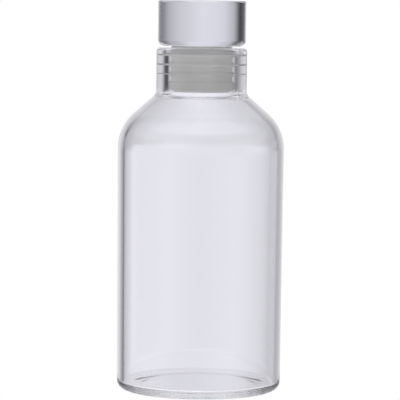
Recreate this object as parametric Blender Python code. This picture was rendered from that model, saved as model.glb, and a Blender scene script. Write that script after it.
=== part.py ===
"""A glass water bottle with a push-in stopper.

Four pieces: a blown glass bottle, and a stopper made of a clear knob, a moulded core bonded under it
and a ribbed silicone sleeve over the core. Every piece is turned about the vertical axis. The origin
is the centre of the base, and the stopper lifts straight up out of the neck.
"""
import math

import bmesh
import bpy
from mathutils import Vector

# Driving dimensions, in metres
MM = 0.001

BODY_RADIUS = 35.0 * MM  # at the shoulder
DRAFT = 0.4 * MM  # how much narrower the body is at the heel
BODY_WALL = 2.7 * MM
BASE_THICKNESS = 3.2 * MM
HEEL_ROUND = 3.7 * MM
FLOOR_ROUND = 1.2 * MM  # inside corner between wall and floor
FOOT_RADIUS = 26.0 * MM  # inner edge of the ring that the bottle stands on
FOOT_RECESS = 0.5 * MM  # how far the middle of the base is pushed up
FOOT_SLOPE = 2.0 * MM  # width of the slope up to that
SHOULDER_Z = 102.0 * MM  # where the straight side ends
SHOULDER_ROUND = 19.5 * MM
SHOULDER_TURN = math.radians(49)
NECK_RADIUS = 19.1 * MM
NECK_FILLET = 3.6 * MM
RIM_Z = 144.3 * MM
RIM_OUTER_ROUND = 1.5 * MM
RIM_INNER_ROUND = 1.6 * MM
BORE_RADIUS = 14.2 * MM
BORE_END_Z = 122.4 * MM  # where the bore opens into the shoulder, on a narrow ledge
BORE_END_ROUND = 2.2 * MM
LEDGE_ROUND = 1.0 * MM  # where the ledge round the bore's end meets the shoulder

KNOB_RADIUS = 18.5 * MM
KNOB_HEIGHT = 19.1 * MM
KNOB_TOP_ROUND = 0.8 * MM
KNOB_BOTTOM_ROUND = 2.7 * MM
KNOB_LIFT = 0.7 * MM  # daylight between the knob and the rim

TOUCH_GAP = 0.3 * MM  # kept between pieces that touch on the real bottle

CORE_RADIUS = 10.5 * MM
CORE_DEPTH = 17.0 * MM  # below the rim
BEAD_HEIGHT = 0.7 * MM  # ring that holds the sleeve on the core
BEAD_DEPTH = 13.1 * MM  # its middle, below the rim
BEAD_WIDTH = 2.4 * MM
CORE_CHAMFER = 0.4 * MM

SLEEVE_TOP = KNOB_LIFT - TOUCH_GAP  # above the rim, just under the knob
SLEEVE_FLOOR = 1.5 * MM
SLEEVE_ROOT_RADIUS = 12.8 * MM
SLEEVE_FOOT_RADIUS = 11.8 * MM
SLEEVE_CHAMFER = 0.4 * MM
RIB_COUNT = 4
RIB_DEPTH = 3.0 * MM  # middle of the top rib, below the rim
RIB_PITCH = 3.95 * MM
RIB_CREST_WIDTH = 0.7 * MM
RIB_ROOT_WIDTH = 2.3 * MM
LEAD_IN_DEPTH = 1.8 * MM  # from the lowest rib's middle down to where the foot's chamfer starts

SEGMENTS = 48  # round the axis
ARC_STEP = math.radians(15)  # most that a rounded stretch turns between two points
MERGE_DISTANCE = 0.001 * MM  # closes the ends on the axis and the seam
SHARP_ANGLE = math.radians(30)


def arc(centre, radius, start, turn):
    """Points (r, z) on an arc that turns from the angle start, measured from outwards to upwards."""
    steps = max(1, math.ceil(abs(turn) / ARC_STEP - 1e-6))
    angles = [start + turn * i / steps for i in range(steps + 1)]
    return [(centre[0] + radius * math.cos(a), centre[1] + radius * math.sin(a)) for a in angles]


def rounded(corners):
    """An outline through corners of (r, z) or (r, z, radius): straight runs, with the latter rounded."""
    points = []
    for i, corner in enumerate(corners):
        here = Vector(corner[:2])
        if len(corner) == 2:
            points.append(corner)
            continue
        back = (Vector(corners[i - 1][:2]) - here).normalized()
        ahead = (Vector(corners[i + 1][:2]) - here).normalized()
        radius = corner[2]
        half = back.angle(ahead) / 2
        centre = here + (back + ahead).normalized() * radius / math.sin(half)
        start = here + back * radius / math.tan(half) - centre
        turn = math.copysign(math.pi - 2 * half, ahead.x * back.y - ahead.y * back.x)
        points += arc(centre, radius, math.atan2(start.y, start.x), turn)
    return points


def turned(name, profile, material, parent=None):
    """A closed solid: the profile of (r, z) points spun about the Z axis. Both ends are on the axis."""
    bm = bmesh.new()
    verts = [bm.verts.new((r, 0, z)) for r, z in profile]
    edges = [bm.edges.new(pair) for pair in zip(verts, verts[1:])]
    bmesh.ops.spin(bm, geom=verts + edges, cent=(0, 0, 0), axis=(0, 0, 1),
                   angle=math.tau, steps=SEGMENTS)
    bmesh.ops.remove_doubles(bm, verts=bm.verts, dist=MERGE_DISTANCE)
    bmesh.ops.recalc_face_normals(bm, faces=bm.faces)
    mesh = bpy.data.meshes.new(name)
    bm.to_mesh(mesh)
    bm.free()
    mesh.shade_smooth()
    mesh.set_sharp_from_angle(angle=SHARP_ANGLE)
    mesh.materials.append(material)
    piece = bpy.data.objects.new(name, mesh)
    piece.parent = parent
    bpy.context.collection.objects.link(piece)
    return piece


def principled(name, colour, roughness, transmission=0.0, ior=1.5):
    """A material with a Principled BSDF."""
    material = bpy.data.materials.new(name)
    material.use_nodes = True
    shader = material.node_tree.nodes["Principled BSDF"]
    shader.inputs["Base Color"].default_value = (*colour, 1)
    shader.inputs["Metallic"].default_value = 0
    shader.inputs["Roughness"].default_value = roughness
    shader.inputs["Transmission Weight"].default_value = transmission
    shader.inputs["IOR"].default_value = ior
    return material


def shoulder_corner(radius, size):
    """Where the side at that radius would meet the shoulder's straight slope, and its rounding."""
    return radius, SHOULDER_Z + size * math.tan(SHOULDER_TURN / 2), size


def bottle_profile():
    """From the middle of the underside, up the outside, over the rim and down inside to the floor."""
    heel = BODY_RADIUS - DRAFT
    inside = BODY_RADIUS - BODY_WALL
    shoulder = shoulder_corner(BODY_RADIUS, SHOULDER_ROUND)
    inner_shoulder = shoulder_corner(inside, SHOULDER_ROUND - BODY_WALL)
    slope = 1 / math.tan(SHOULDER_TURN)
    neck_z = shoulder[1] + (shoulder[0] - NECK_RADIUS) * slope
    ledge = inside - (BORE_END_Z - inner_shoulder[1]) / slope
    return rounded([
        (0, FOOT_RECESS),
        (FOOT_RADIUS - FOOT_SLOPE, FOOT_RECESS),
        (FOOT_RADIUS, 0),
        (heel, 0, HEEL_ROUND),
        (BODY_RADIUS, SHOULDER_Z),
        shoulder,
        (NECK_RADIUS, neck_z, NECK_FILLET),
        (NECK_RADIUS, RIM_Z, RIM_OUTER_ROUND),
        (BORE_RADIUS, RIM_Z, RIM_INNER_ROUND),
        (BORE_RADIUS, BORE_END_Z, BORE_END_ROUND),
        (ledge, BORE_END_Z, LEDGE_ROUND),
        inner_shoulder,
        (inside, SHOULDER_Z),
        (heel - BODY_WALL, BASE_THICKNESS, FLOOR_ROUND),
        (0, BASE_THICKNESS),
    ])


def knob_profile():
    """A short solid cylinder above the rim, with a crisp top edge and a rounded lower one."""
    low = KNOB_LIFT
    high = KNOB_LIFT + KNOB_HEIGHT
    return rounded([(0, low), (KNOB_RADIUS, low, KNOB_BOTTOM_ROUND), (KNOB_RADIUS, high, KNOB_TOP_ROUND),
                    (0, high)])


def bead(root, height, margin):
    """The core's retaining ring, or with a margin the groove in the sleeve around it, going up."""
    half = BEAD_WIDTH / 2 + margin
    return [(root, -BEAD_DEPTH - half), (root + height, -BEAD_DEPTH - half + height),
            (root + height, -BEAD_DEPTH + half - height), (root, -BEAD_DEPTH + half)]


def core_profile():
    """A spindle from just under the knob down into the sleeve, with its retaining ring."""
    top = KNOB_LIFT - TOUCH_GAP
    points = [(0, -CORE_DEPTH), (CORE_RADIUS - CORE_CHAMFER, -CORE_DEPTH),
              (CORE_RADIUS, -CORE_DEPTH + CORE_CHAMFER)]
    points += bead(CORE_RADIUS, BEAD_HEIGHT, 0)
    points += [(CORE_RADIUS, top), (0, top)]
    return points


def rib(middle, crest):
    """One sealing rib, going up."""
    root = RIB_ROOT_WIDTH / 2
    tip = RIB_CREST_WIDTH / 2
    return [(SLEEVE_ROOT_RADIUS, middle - root), (crest, middle - tip),
            (crest, middle + tip), (SLEEVE_ROOT_RADIUS, middle + root)]


def sleeve_profile():
    """A cup around the core: chamfered foot, sealing ribs outside, groove for the ring inside."""
    crest = BORE_RADIUS - TOUCH_GAP
    inner = CORE_RADIUS + TOUCH_GAP
    floor_top = -CORE_DEPTH - TOUCH_GAP
    bottom = floor_top - SLEEVE_FLOOR
    middles = [-RIB_DEPTH - RIB_PITCH * i for i in reversed(range(RIB_COUNT))]
    lowest = middles[0]

    points = [(0, bottom), (SLEEVE_FOOT_RADIUS - SLEEVE_CHAMFER, bottom),
              (SLEEVE_FOOT_RADIUS, bottom + SLEEVE_CHAMFER)]
    # The lowest rib's underside is the lead-in chamfer
    points += [(crest, lowest - LEAD_IN_DEPTH)]
    points += rib(lowest, crest)[2:]
    for middle in middles[1:]:
        points += rib(middle, crest)
    points += [(SLEEVE_ROOT_RADIUS, SLEEVE_TOP - SLEEVE_CHAMFER),
               (SLEEVE_ROOT_RADIUS - SLEEVE_CHAMFER, SLEEVE_TOP), (inner, SLEEVE_TOP)]
    points += reversed(bead(inner, BEAD_HEIGHT, TOUCH_GAP))
    points += [(inner, floor_top), (0, floor_top)]
    return points


def clear_scene():
    for thing in list(bpy.data.objects):
        bpy.data.objects.remove(thing, do_unlink=True)


def build():
    clear_scene()
    glass = principled("clear_glass", (0.93, 0.93, 0.96), 0.02, transmission=1.0, ior=1.47)
    acrylic = principled("clear_acrylic", (0.88, 0.88, 0.94), 0.03, transmission=1.0, ior=1.49)
    moulded = principled("translucent_moulding", (0.55, 0.55, 0.56), 0.45)
    silicone = principled("grey_silicone", (0.46, 0.46, 0.46), 0.5)

    turned("glass_bottle", bottle_profile(), glass)

    stopper = bpy.data.objects.new("stopper", None)
    stopper.location = (0, 0, RIM_Z)
    bpy.context.collection.objects.link(stopper)
    turned("cap_knob", knob_profile(), acrylic, stopper)
    turned("plug_core", core_profile(), moulded, stopper)
    turned("seal_sleeve", sleeve_profile(), silicone, stopper)


build()
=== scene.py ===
"""Looks for the glass water bottle: clear glass, a clear knob and a translucent ribbed seal.

Every piece is turned about the Z axis and stands in the frame where its CAD node does. Lengths are in
metres.
"""
import math

import bmesh
import bpy
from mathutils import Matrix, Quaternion, Vector


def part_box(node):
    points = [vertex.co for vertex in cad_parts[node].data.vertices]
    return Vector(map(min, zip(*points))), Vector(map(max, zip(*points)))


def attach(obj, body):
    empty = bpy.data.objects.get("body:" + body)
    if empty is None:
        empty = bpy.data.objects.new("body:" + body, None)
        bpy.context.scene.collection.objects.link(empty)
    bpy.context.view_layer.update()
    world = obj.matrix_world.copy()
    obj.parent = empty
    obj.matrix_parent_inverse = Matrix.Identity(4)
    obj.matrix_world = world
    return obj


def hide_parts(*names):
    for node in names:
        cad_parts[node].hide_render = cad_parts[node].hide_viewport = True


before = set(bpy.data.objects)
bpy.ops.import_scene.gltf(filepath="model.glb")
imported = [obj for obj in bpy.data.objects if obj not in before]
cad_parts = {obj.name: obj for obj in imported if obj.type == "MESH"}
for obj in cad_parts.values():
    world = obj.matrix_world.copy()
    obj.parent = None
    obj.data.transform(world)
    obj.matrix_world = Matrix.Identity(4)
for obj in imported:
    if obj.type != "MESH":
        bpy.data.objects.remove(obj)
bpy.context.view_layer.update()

MM = 0.001
GLASS_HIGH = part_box("glass_bottle")[1]
KNOB_LOW, KNOB_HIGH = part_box("cap_knob")
CORE_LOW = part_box("plug_core")[0]
SLEEVE_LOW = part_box("seal_sleeve")[0]

# Meshes
SEGMENTS = 288  # round the axis
ARC_STEP = math.radians(3)  # most that a rounded stretch turns between two points
LONGEST_RUN = 3 * MM
SLEEVE_RUN = 1 * MM
MERGE_DISTANCE = 0.001 * MM  # closes the ends on the axis and the seam
SHARP_ANGLE = math.radians(30)

# Bottle
BODY_RADIUS = GLASS_HIGH.x
RIM_Z = GLASS_HIGH.z
DRAFT = 0.4 * MM
BODY_WALL = 2.7 * MM
HEEL_ROUND = 3.7 * MM
FOOT_RADIUS = 26.0 * MM  # inner edge of the ring it stands on
FOOT_RECESS = 0.5 * MM
FOOT_SLOPE = 2.0 * MM
FLOOR_Z = 3.2 * MM
FLOOR_ROUND = 1.2 * MM
SHOULDER_Z = 102.0 * MM  # where the straight side ends
SHOULDER_ROUND = 19.5 * MM
SHOULDER_TURN = math.radians(49)
NECK_RADIUS = 19.1 * MM
NECK_FILLET = 3.6 * MM
RIM_OUTER_ROUND = 1.5 * MM
RIM_INNER_ROUND = 1.6 * MM
BORE_RADIUS = 14.2 * MM
BORE_END_Z = 122.4 * MM  # where the bore opens into the shoulder, on a narrow ledge
BORE_END_ROUND = 2.2 * MM
LEDGE_ROUND = 1.0 * MM

# Stopper
KNOB_RADIUS = KNOB_HIGH.x
KNOB_TOP_ROUND = 0.8 * MM
KNOB_BOTTOM_ROUND = 2.7 * MM
CONTACT = 0.01 * MM  # how far pieces that are pressed or bonded together reach into each other
CORE_RADIUS = 10.5 * MM
CORE_CHAMFER = 0.4 * MM
BEAD_HEIGHT = 0.7 * MM  # ring that holds the sleeve on the core
BEAD_Z = RIM_Z - 13.1 * MM
BEAD_WIDTH = 2.4 * MM
SLEEVE_ROOT_RADIUS = 12.8 * MM
SLEEVE_FOOT_RADIUS = 11.8 * MM
SLEEVE_CHAMFER = 0.4 * MM
TOP_RIB_Z = RIM_Z - 3.0 * MM
RIB_PITCH = 3.95 * MM
RIB_CREST_WIDTHS = [0.7 * MM, 0.7 * MM, 0.4 * MM, 0.6 * MM]  # from the top rib down
LOWEST_RIB_GAP = 0.15 * MM
RIB_REACH = [CONTACT, CONTACT, CONTACT, -LOWEST_RIB_GAP]  # past the bore's wall, from the top rib down
RIB_ROOT_WIDTH = 2.3 * MM
LEAD_IN_DEPTH = 1.8 * MM  # from the lowest rib's crest down to where its long chamfer starts

# Camera
CAMERA_DISTANCE = 1.0
CAMERA_HEIGHT = 0.1585
LOOK_AT_Z = 0.0801
LOOK_AT_X = -0.0001
CAMERA_ROLL = math.radians(0.638)
FOCAL_LENGTH_MM = 213.6
SENSOR_WIDTH_MM = 36
CLIP_NEAR = 0.01
CLIP_FAR = 50

LIGHT_BOUNCES = 64  # light runs far inside the glass edges before it leaves
DIFFUSE_BOUNCES = 6


def arc(centre_r, centre_z, radius, start, end):
    """Points (r, z) on an arc, from angle start to angle end, measured from outwards to upwards."""
    steps = max(1, math.ceil(abs(end - start) / ARC_STEP - 1e-6))
    angles = [start + (end - start) * i / steps for i in range(steps + 1)]
    return [(centre_r + radius * math.cos(a), centre_z + radius * math.sin(a)) for a in angles]


def rounded(corners):
    """An outline through corners of (r, z) or (r, z, round): straight runs, with those corners rounded."""
    points = []
    for i, corner in enumerate(corners):
        here = Vector(corner[:2])
        if len(corner) == 2:
            points.append(tuple(here))
            continue
        back = (Vector(corners[i - 1][:2]) - here).normalized()
        ahead = (Vector(corners[i + 1][:2]) - here).normalized()
        half = back.angle(ahead) / 2
        centre = here + (back + ahead).normalized() * corner[2] / math.sin(half)
        start = back * corner[2] / math.tan(half) + here - centre
        turn = math.pi - 2 * half
        if back.x * ahead.y - back.y * ahead.x > 0:
            turn = -turn
        first = math.atan2(start.y, start.x)
        points += arc(*centre, corner[2], first, first + turn)
    return points


def split(profile, longest):
    """The same outline with no straight run longer than that."""
    points = [profile[0]]
    for (r0, z0), (r1, z1) in zip(profile, profile[1:]):
        parts = max(1, math.ceil(math.hypot(r1 - r0, z1 - z0) / longest))
        points += [(r0 + (r1 - r0) * i / parts, z0 + (z1 - z0) * i / parts)
                   for i in range(1, parts + 1)]
    return points


def turned(name, profile, material, longest=LONGEST_RUN):
    """A closed solid: the profile of (r, z) points spun about the Z axis. Both ends are on the axis."""
    bm = bmesh.new()
    verts = [bm.verts.new((r, 0, z)) for r, z in split(profile, longest)]
    edges = [bm.edges.new(pair) for pair in zip(verts, verts[1:])]
    bmesh.ops.spin(bm, geom=verts + edges, cent=(0, 0, 0), axis=(0, 0, 1),
                   angle=math.tau, steps=SEGMENTS)
    bmesh.ops.remove_doubles(bm, verts=bm.verts, dist=MERGE_DISTANCE)
    bmesh.ops.recalc_face_normals(bm, faces=bm.faces)
    mesh = bpy.data.meshes.new(name)
    bm.to_mesh(mesh)
    bm.free()
    mesh.shade_smooth()
    mesh.set_sharp_from_angle(angle=SHARP_ANGLE)
    mesh.materials.append(material)
    piece = bpy.data.objects.new(name, mesh)
    bpy.context.scene.collection.objects.link(piece)
    return piece


def stands_for(piece, node, body):
    """Shows the piece instead of that CAD node, and moves it with its body."""
    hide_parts(node)
    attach(piece, body)


# --- Outlines -------------------------------------------------------------------------------

def shoulder_corner(radius, start_z, size):
    """Where the side wall at that radius would meet the shoulder's straight part, and its rounding."""
    return radius, start_z + size * math.tan(SHOULDER_TURN / 2), size


def bottle_profile():
    """From the middle of the underside, up the outside, over the rim and down inside to the floor."""
    heel_r = BODY_RADIUS - DRAFT
    shoulder = shoulder_corner(BODY_RADIUS, SHOULDER_Z, SHOULDER_ROUND)
    inner_shoulder = shoulder_corner(BODY_RADIUS - BODY_WALL, SHOULDER_Z, SHOULDER_ROUND - BODY_WALL)
    slope = 1 / math.tan(SHOULDER_TURN)
    neck_z = shoulder[1] + (shoulder[0] - NECK_RADIUS) * slope
    ledge_r = inner_shoulder[0] - (BORE_END_Z - inner_shoulder[1]) / slope
    return rounded([
        (0, FOOT_RECESS),
        (FOOT_RADIUS - FOOT_SLOPE, FOOT_RECESS),
        (FOOT_RADIUS, 0),
        (heel_r, 0, HEEL_ROUND),
        (BODY_RADIUS, SHOULDER_Z),
        shoulder,
        (NECK_RADIUS, neck_z, NECK_FILLET),
        (NECK_RADIUS, RIM_Z, RIM_OUTER_ROUND),
        (BORE_RADIUS, RIM_Z, RIM_INNER_ROUND),
        (BORE_RADIUS, BORE_END_Z, BORE_END_ROUND),
        (ledge_r, BORE_END_Z, LEDGE_ROUND),
        inner_shoulder,
        (BODY_RADIUS - BODY_WALL, SHOULDER_Z),
        (heel_r - BODY_WALL, FLOOR_Z, FLOOR_ROUND),
        (0, FLOOR_Z),
    ])


def knob_profile():
    """A short solid cylinder, with a crisp top edge and a rounded lower one."""
    low, high = KNOB_LOW.z, KNOB_HIGH.z
    points = [(0, low)]
    points += arc(KNOB_RADIUS - KNOB_BOTTOM_ROUND, low + KNOB_BOTTOM_ROUND, KNOB_BOTTOM_ROUND,
                  -math.pi / 2, 0)
    points += arc(KNOB_RADIUS - KNOB_TOP_ROUND, high - KNOB_TOP_ROUND, KNOB_TOP_ROUND, 0, math.pi / 2)
    points += [(0, high)]
    return points


def bead(root):
    """The core's retaining ring, or the groove round it in the sleeve, going up."""
    half = BEAD_WIDTH / 2
    return [(root, BEAD_Z - half), (root + BEAD_HEIGHT, BEAD_Z - half + BEAD_HEIGHT),
            (root + BEAD_HEIGHT, BEAD_Z + half - BEAD_HEIGHT), (root, BEAD_Z + half)]


def core_profile():
    """A spindle from the knob down into the sleeve, with its retaining ring."""
    low, top = CORE_LOW.z, KNOB_LOW.z + CONTACT
    points = [(0, low), (CORE_RADIUS - CORE_CHAMFER, low), (CORE_RADIUS, low + CORE_CHAMFER)]
    points += bead(CORE_RADIUS)
    points += [(CORE_RADIUS, top), (0, top)]
    return points


def rib(middle, crest, width):
    """One sealing rib with a flat crest of that width, going up."""
    root = RIB_ROOT_WIDTH / 2
    tip = width / 2
    return [(SLEEVE_ROOT_RADIUS, middle - root), (crest, middle - tip),
            (crest, middle + tip), (SLEEVE_ROOT_RADIUS, middle + root)]


def sleeve_profile():
    """A cup round the core: chamfered foot, sealing ribs outside, groove for the ring inside."""
    inner = CORE_RADIUS - CONTACT
    bottom, top = SLEEVE_LOW.z, KNOB_LOW.z + CONTACT
    floor_top = CORE_LOW.z + CONTACT
    ribs = [rib(TOP_RIB_Z - RIB_PITCH * i, BORE_RADIUS + reach, width)
            for i, (width, reach) in enumerate(zip(RIB_CREST_WIDTHS, RIB_REACH))]
    ribs.reverse()
    crest, crest_z = ribs[0][1]

    points = [(0, bottom), (SLEEVE_FOOT_RADIUS - SLEEVE_CHAMFER, bottom),
              (SLEEVE_FOOT_RADIUS, bottom + SLEEVE_CHAMFER)]
    # The lowest rib's underside is the lead-in chamfer
    points += [(crest, crest_z - LEAD_IN_DEPTH)]
    points += ribs[0][2:]
    for one in ribs[1:]:
        points += one
    points += [(SLEEVE_ROOT_RADIUS, top - SLEEVE_CHAMFER), (SLEEVE_ROOT_RADIUS - SLEEVE_CHAMFER, top),
               (inner, top)]
    points += reversed(bead(inner))
    points += [(inner, floor_top), (0, floor_top)]
    return points


# --- Materials ------------------------------------------------------------------------------

WAVE_STRETCH = (1, 1, 0.35)  # the waviness of the clear pieces runs longer along the axis
WAVE_DETAIL = 1.0
GRAIN_SCALE = 900
GRAIN_DETAIL = 3.0
GRAIN_DEPTH = 0.02 * MM
SOFT_IOR = 1.41
SCATTER_WEIGHT = 0.3
SCATTER_DEPTH = 2 * MM


def new_material(name):
    material = bpy.data.materials.new(name)
    material.use_nodes = True
    tree = material.node_tree
    return material, tree, tree.nodes["Principled BSDF"]


def bump(tree, shader, scale, detail, distance, stretch=(1, 1, 1)):
    """Waviness of the surface, as a noise bump in the object's own metres."""
    coords = tree.nodes.new("ShaderNodeTexCoord")
    mapping = tree.nodes.new("ShaderNodeMapping")
    mapping.inputs["Scale"].default_value = stretch
    noise = tree.nodes.new("ShaderNodeTexNoise")
    noise.inputs["Scale"].default_value = scale
    noise.inputs["Detail"].default_value = detail
    node = tree.nodes.new("ShaderNodeBump")
    node.inputs["Strength"].default_value = 1.0
    node.inputs["Distance"].default_value = distance
    tree.links.new(coords.outputs["Object"], mapping.inputs["Vector"])
    tree.links.new(mapping.outputs["Vector"], noise.inputs["Vector"])
    tree.links.new(noise.outputs["Fac"], node.inputs["Height"])
    tree.links.new(node.outputs["Normal"], shader.inputs["Normal"])


def clear_material(name, colour, ior, wave_depth, wave_scale):
    """Glass or acrylic, polished and faintly wavy."""
    material, tree, shader = new_material(name)
    shader.inputs["Base Color"].default_value = (*colour, 1)
    shader.inputs["Roughness"].default_value = 0.0
    shader.inputs["IOR"].default_value = ior
    shader.inputs["Transmission Weight"].default_value = 1.0
    bump(tree, shader, wave_scale, WAVE_DETAIL, wave_depth, WAVE_STRETCH)
    return material


def soft_material(name, colour, roughness):
    """A translucent moulding that scatters light, with a fine grain."""
    material, tree, shader = new_material(name)
    shader.inputs["Base Color"].default_value = (*colour, 1)
    shader.inputs["Roughness"].default_value = roughness
    shader.inputs["IOR"].default_value = SOFT_IOR
    shader.inputs["Subsurface Weight"].default_value = SCATTER_WEIGHT
    shader.inputs["Subsurface Radius"].default_value = (1.0, 1.0, 1.0)
    shader.inputs["Subsurface Scale"].default_value = SCATTER_DEPTH
    bump(tree, shader, GRAIN_SCALE, GRAIN_DETAIL, GRAIN_DEPTH)
    return material


# --- Studio ---------------------------------------------------------------------------------

# The studio round the bottle, in bands one above the other. Each is a list of (degrees from straight
# behind, + to the right, and how bright it is there). -180 and 180 are the camera's side.
KNOB_BAND = [(-180, 0.6), (-140, 0.3), (-105, 0.85), (-80, 0.85),  # light on the left
             (-65, 0.03), (-47, 0.02), (-42, 0.15), (-34, 0.45), (-20, 0.72),  # dark edge of the backdrop
             (0, 0.77), (20, 0.62), (50, 0.25), (70, 0.15),  # backdrop, fading to the right
             (90, 0.7), (125, 0.3), (150, 0.7), (180, 0.6)]
BODY_BAND = [(-180, 0.35), (-150, 0.3), (-105, 0.85), (-75, 0.75),
             (-50, 0.4), (-40, 0.08), (-33, 0.42), (-10, 0.9),
             (10, 0.8), (20, 0.5), (35, 0.42), (50, 0.65),
             (70, 0.05), (100, 0.1), (130, 0.8), (150, 0.8), (180, 0.35)]
UPPER_BAND = [(-180, 0.7), (-135, 0.9), (-95, 0.8), (-75, 0.1), (-38, 0.1), (-28, 0.5), (-10, 0.7),
              (10, 0.7), (25, 0.45), (35, 0.4), (48, 0.1), (75, 0.1), (100, 0.5), (135, 0.6), (180, 0.7)]
TABLE_BAND = [(-180, 0.65), (-135, 0.6), (-90, 0.6), (-50, 0.8), (0, 0.75), (45, 0.8), (90, 0.6),
              (135, 0.65), (180, 0.65)]
NADIR_BAND = [(-180, 2.2), (-90, 1.4), (-45, 0.8),  # the table, lit more on the camera's side
              (45, 0.8), (90, 1.1), (180, 2.2)]
ZENITH = 0.6
TINT = (0.985, 0.98, 1.035)

# Degrees above the horizon between which one band gives way to the next
KNOB_TO_BODY = (-2.2, -3.0)
BODY_TO_TABLE = (-13, -20)
TABLE_TO_NADIR = (-28, -40)
KNOB_TO_UPPER = (5, 8)
UPPER_TO_ZENITH = (60, 75)

STUDIO_FLOOR_HALF = 6.0  # half its side


def math_node(tree, operation, first, second):
    node = tree.nodes.new("ShaderNodeMath")
    node.operation = operation
    for socket, value in zip(node.inputs, (first, second)):
        if isinstance(value, (int, float)):
            socket.default_value = value
        else:
            tree.links.new(value, socket)
    return node.outputs[0]


def ramp(tree, factor, stops):
    """A colour ramp of greys over stops of (place from 0 to 1, brightness)."""
    node = tree.nodes.new("ShaderNodeValToRGB")
    elements = node.color_ramp.elements
    while len(elements) < len(stops):
        elements.new(1.0)
    for element, (place, value) in zip(elements, stops):
        element.position = place
        element.color = (value, value, value, 1)
    tree.links.new(factor, node.inputs["Fac"])
    return node.outputs["Color"]


def mix(tree, factor, first, second, blend="MIX"):
    """A blend of two colours. The colours and the factor are each a socket or a fixed value."""
    node = tree.nodes.new("ShaderNodeMix")
    node.data_type = "RGBA"
    node.blend_type = blend
    if isinstance(factor, (int, float)):
        node.inputs["Factor"].default_value = factor
    else:
        tree.links.new(factor, node.inputs["Factor"])
    for name, value in (("A", first), ("B", second)):
        socket = [s for s in node.inputs if s.name == name and s.type == "RGBA"][0]
        if isinstance(value, tuple):
            socket.default_value = value
        else:
            tree.links.new(value, socket)
    return [s for s in node.outputs if s.type == "RGBA"][0]


def rise(tree, height, elevations):
    """From 0 to 1 as the direction's elevation goes from the first of the two to the second."""
    places = [(0.5 + 0.5 * math.sin(math.radians(e)), v) for v, e in enumerate(elevations)]
    return ramp(tree, height, sorted(places))


def studio_world():
    """White to the camera. The glass sees a pale backdrop, with light and dark studio to its sides."""
    world = bpy.data.worlds.new("studio")
    bpy.context.scene.world = world
    world.use_nodes = True
    tree = world.node_tree
    background = tree.nodes["Background"]
    coords = tree.nodes.new("ShaderNodeTexCoord")
    split_xyz = tree.nodes.new("ShaderNodeSeparateXYZ")
    tree.links.new(coords.outputs["Generated"], split_xyz.inputs[0])
    x, y, z = split_xyz.outputs
    turn = math_node(tree, "ARCTAN2", x, y)
    place = math_node(tree, "ADD", math_node(tree, "DIVIDE", turn, math.tau), 0.5)
    height = math_node(tree, "ADD", math_node(tree, "MULTIPLY", z, 0.5), 0.5)
    knob, body, upper, table, nadir = (
        ramp(tree, place, [(0.5 + a / 360, v) for a, v in stops])
        for stops in (KNOB_BAND, BODY_BAND, UPPER_BAND, TABLE_BAND, NADIR_BAND))
    colour = mix(tree, rise(tree, height, KNOB_TO_BODY), knob, body)
    colour = mix(tree, rise(tree, height, BODY_TO_TABLE), colour, table)
    colour = mix(tree, rise(tree, height, TABLE_TO_NADIR), colour, nadir)
    colour = mix(tree, rise(tree, height, KNOB_TO_UPPER), colour, upper)
    colour = mix(tree, rise(tree, height, UPPER_TO_ZENITH), colour, (ZENITH, ZENITH, ZENITH, 1))
    tinted = mix(tree, 1, colour, (*TINT, 1), blend="MULTIPLY")
    path = tree.nodes.new("ShaderNodeLightPath")
    seen = mix(tree, path.outputs["Is Camera Ray"], tinted, (1, 1, 1, 1))
    tree.links.new(seen, background.inputs["Color"])
    background.inputs["Strength"].default_value = 1.0


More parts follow.
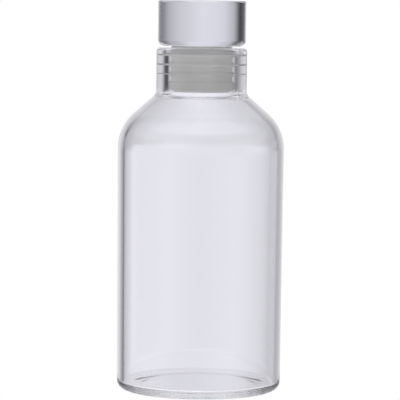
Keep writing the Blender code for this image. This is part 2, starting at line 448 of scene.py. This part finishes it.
def pale_floor():
    """A plain pale surface under the bottle. Only the camera sees it."""
    mesh = bpy.data.meshes.new("floor")
    half = STUDIO_FLOOR_HALF
    mesh.from_pydata([(-half, -half, 0), (half, -half, 0), (half, half, 0), (-half, half, 0)], [],
                     [(0, 1, 2, 3)])
    material = bpy.data.materials.new("pale_floor")
    material.use_nodes = True
    tree = material.node_tree
    tree.nodes.remove(tree.nodes["Principled BSDF"])
    glow = tree.nodes.new("ShaderNodeEmission")
    tree.links.new(glow.outputs[0], tree.nodes["Material Output"].inputs["Surface"])
    mesh.materials.append(material)
    floor = bpy.data.objects.new("floor", mesh)
    bpy.context.scene.collection.objects.link(floor)
    floor.visible_transmission = False
    floor.visible_glossy = False
    floor.visible_diffuse = False
    floor.visible_shadow = False


def camera():
    """In front of the bottle, level with its knob and looking slightly down."""
    data = bpy.data.cameras.new("camera")
    data.lens = FOCAL_LENGTH_MM
    data.sensor_width = SENSOR_WIDTH_MM
    data.clip_start, data.clip_end = CLIP_NEAR, CLIP_FAR
    item = bpy.data.objects.new("camera", data)
    bpy.context.scene.collection.objects.link(item)
    item.location = (0, -CAMERA_DISTANCE, CAMERA_HEIGHT)
    towards = Vector((LOOK_AT_X, 0, LOOK_AT_Z)) - item.location
    roll = Quaternion((0, 0, 1), CAMERA_ROLL)
    item.rotation_mode = "QUATERNION"
    item.rotation_quaternion = towards.to_track_quat("-Z", "Y") @ roll
    bpy.context.scene.camera = item


def render_look():
    scene = bpy.context.scene
    scene.view_settings.view_transform = "Standard"
    scene.view_settings.look = "None"
    scene.cycles.max_bounces = LIGHT_BOUNCES
    scene.cycles.transmission_bounces = LIGHT_BOUNCES
    scene.cycles.glossy_bounces = LIGHT_BOUNCES
    scene.cycles.diffuse_bounces = DIFFUSE_BOUNCES


def main():
    render_look()
    camera()
    studio_world()
    pale_floor()

    glass = clear_material("clear_glass", colour=(0.985, 0.985, 0.995), ior=1.47,
                           wave_depth=0.02 * MM, wave_scale=30)
    acrylic = clear_material("clear_acrylic", colour=(0.945, 0.95, 1.0), ior=1.49,
                             wave_depth=0.01 * MM, wave_scale=40)
    moulding = soft_material("translucent_moulding", colour=(0.87, 0.87, 0.86), roughness=0.45)
    silicone = soft_material("grey_silicone", colour=(0.885, 0.885, 0.835), roughness=0.5)

    bottle = turned("bottle_glass", bottle_profile(), glass)
    stands_for(bottle, "glass_bottle", "bottle")
    knob = turned("knob_clear", knob_profile(), acrylic)
    stands_for(knob, "cap_knob", "stopper")
    core = turned("core_moulded", core_profile(), moulding)
    stands_for(core, "plug_core", "stopper")
    sleeve = turned("sleeve_silicone", sleeve_profile(), silicone, SLEEVE_RUN)
    stands_for(sleeve, "seal_sleeve", "stopper")


main()
